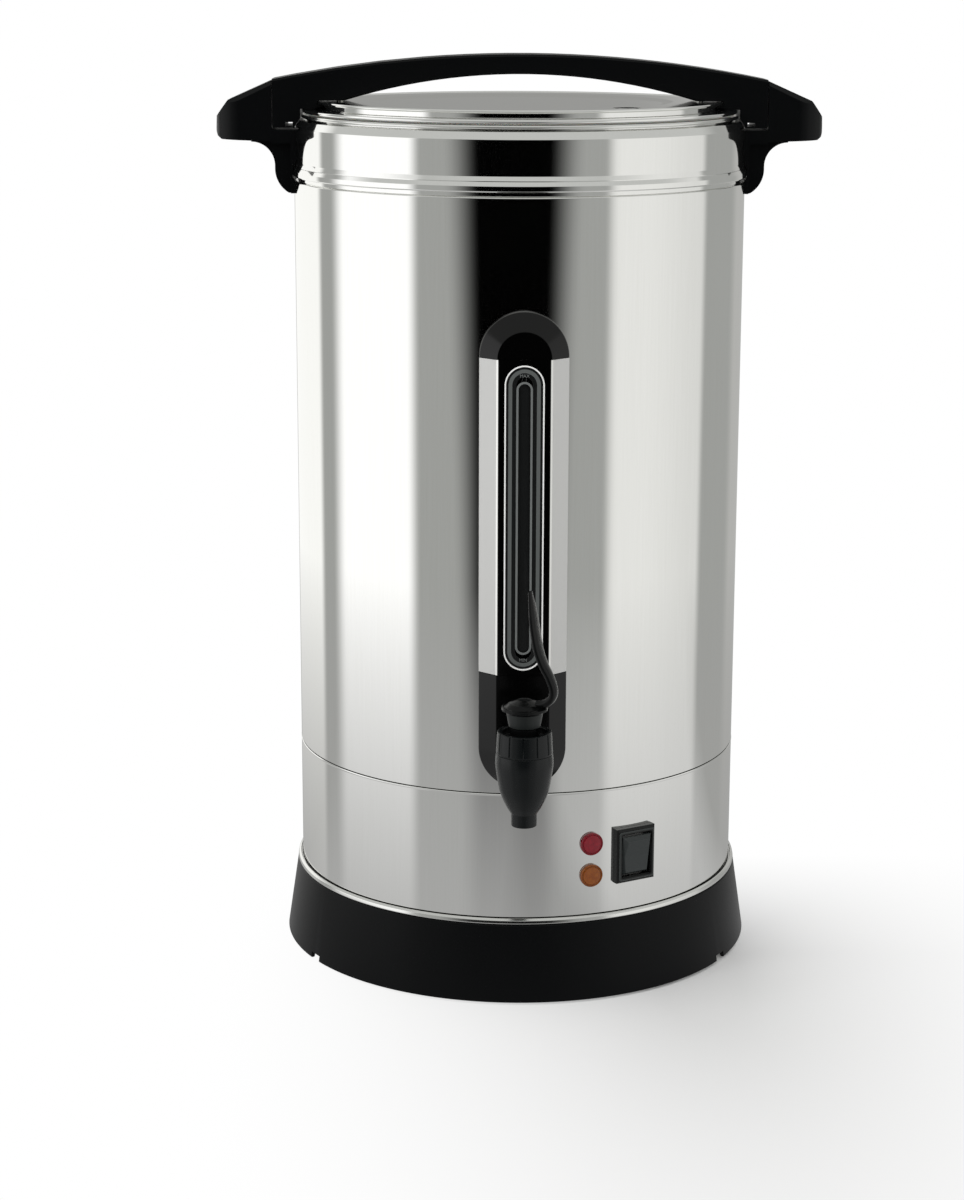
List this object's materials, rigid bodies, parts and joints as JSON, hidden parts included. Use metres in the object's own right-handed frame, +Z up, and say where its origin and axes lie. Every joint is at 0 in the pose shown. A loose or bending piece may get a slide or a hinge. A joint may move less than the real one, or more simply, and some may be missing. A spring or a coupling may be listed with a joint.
{
  "type": "coffee urn",
  "caption": "Tall double-walled steel coffee urn with a sight gauge, a lever tap, a black base and an arched lid handle over two side handles.",
  "frame": {"origin": "on the body's axis, at the level the feet stand on", "axes": "+Z up along the body's axis, -Y to the front with the tap, +X to the viewer's right along the lid handle"},
  "size_m": [0.3626, 0.3513, 0.5453],
  "materials": {
    "polished_steel": "mirror-polished drawn stainless steel",
    "tank_steel": "satin drawn stainless steel",
    "trim_steel": "bright rolled stainless trim",
    "satin_rail": "satin extruded aluminium",
    "zinc_steel": "zinc-plated steel",
    "cast_heater": "cast aluminium heat spreader",
    "element_sheath": "dull alloy sheath",
    "black_plastic": "black moulded phenolic, satin",
    "tap_plastic": "black moulded nylon, semi-gloss",
    "switch_plastic": "dark grey moulded plastic",
    "window_plastic": "clear tinted acrylic",
    "sight_glass": "clear borosilicate tube",
    "silicone": "food-grade silicone",
    "foot_rubber": "black rubber",
    "red_lens": "translucent red lens",
    "amber_lens": "translucent amber lens",
    "ivory_block": "ivory polyamide",
    "brass": "plain brass",
    "wire_cover": "white glass-fibre and silicone sleeving"
  },
  "bodies": {
    "urn": {"base_skirt": "black_plastic", "base_plate": "zinc_steel", "rubber_feet": "foot_rubber", "base_screws": "zinc_steel", "trim_ring": "trim_steel", "lower_shell": "polished_steel", "upper_shell": "polished_steel", "collar": "polished_steel", "inner_tank": "tank_steel", "heater_plate": "cast_heater", "heating_element": "element_sheath", "boil_thermostat": "black_plastic", "warm_thermostat": "black_plastic", "thermal_fuse": "brass", "terminal_block": "ivory_block", "internal_wires": "wire_cover", "earth_stud": "brass", "cord_gland": "foot_rubber", "gauge_base": "black_plastic", "gauge_cap": "black_plastic", "gauge_rails": "satin_rail", "gauge_strip": "black_plastic", "gauge_bezel": "trim_steel", "gauge_window": "window_plastic", "slot_trim": "trim_steel", "sight_tube": "sight_glass", "tube_seals": "silicone", "gauge_screws": "zinc_steel", "tap_body": "tap_plastic", "tap_bonnet": "tap_plastic", "tap_nut": "tap_plastic", "tap_washers": "silicone", "tap_spring": "zinc_steel", "side_handle_left": "black_plastic", "side_handle_right": "black_plastic", "side_handle_screws": "zinc_steel", "red_lamp": "red_lens", "amber_lamp": "amber_lens", "lamp_nuts": "zinc_steel", "switch_housing": "black_plastic"},
    "lid_seal_body": {"lid_seal": "silicone"},
    "lid": {"lid_cap": "polished_steel", "lid_ring": "polished_steel", "lid_handle": "black_plastic", "lid_handle_screws": "zinc_steel"},
    "insert": {"pump_tube": "tank_steel", "coffee_basket": "tank_steel"},
    "cover": {"basket_cover": "tank_steel"},
    "valve_disc": {"pump_valve": "zinc_steel"},
    "tap_seat": {"tap_seat_cup": "silicone"},
    "tap_spindle": {"tap_stem": "tap_plastic", "lever_pin": "zinc_steel"},
    "lever": {"tap_lever": "tap_plastic"},
    "rocker": {"switch_rocker": "switch_plastic"}
  },
  "joints": [
    {"name": "lid_lift", "type": "slide", "parent": "urn", "child": "lid_seal_body", "axis": [0, 0, 1], "range_m": [0, 0.12]},
    {"name": "lid_turn", "type": "hinge", "parent": "lid_seal_body", "child": "lid", "pos_m": [0, 0, 0.5133], "axis": [0, 0, 1], "range_deg": [0, 30]},
    {"name": "insert_lift", "type": "slide", "parent": "urn", "child": "insert", "axis": [0, 0, 1], "range_m": [0, 0.025]},
    {"name": "cover_lift", "type": "slide", "parent": "insert", "child": "cover", "axis": [0, 0, 1], "range_m": [0, 0.015]},
    {"name": "valve_lift", "type": "slide", "parent": "insert", "child": "valve_disc", "axis": [0, 0, 1], "range_m": [0, 0.002]},
    {"name": "stem_lift", "type": "slide", "parent": "urn", "child": "tap_seat", "axis": [0, 0, 1], "range_m": [0, 0.0036], "deforming": ["tap_spring"]},
    {"name": "tap_swivel", "type": "hinge", "parent": "tap_seat", "child": "tap_spindle", "pos_m": [0, -0.19, 0.17], "axis": [0, 0, 1], "range_deg": [-160, 20]},
    {"name": "lever_tilt", "type": "hinge", "parent": "tap_spindle", "child": "lever", "pos_m": [0, -0.19, 0.184], "axis": [0.342, 0.9397, 0], "range_deg": [0, 25], "stiffness_Nm_per_rad": 0.6},
    {"name": "switch_press", "type": "hinge", "parent": "urn", "child": "rocker", "pos_m": [0.06687, -0.11819, 0.0853], "axis": [-0.8704, -0.4924, 0], "range_deg": [0, 16]}
  ],
  "couplings": [
    {"joint": "stem_lift", "follows": "lever_tilt", "m_per_rad": 0.0082}
  ]
}
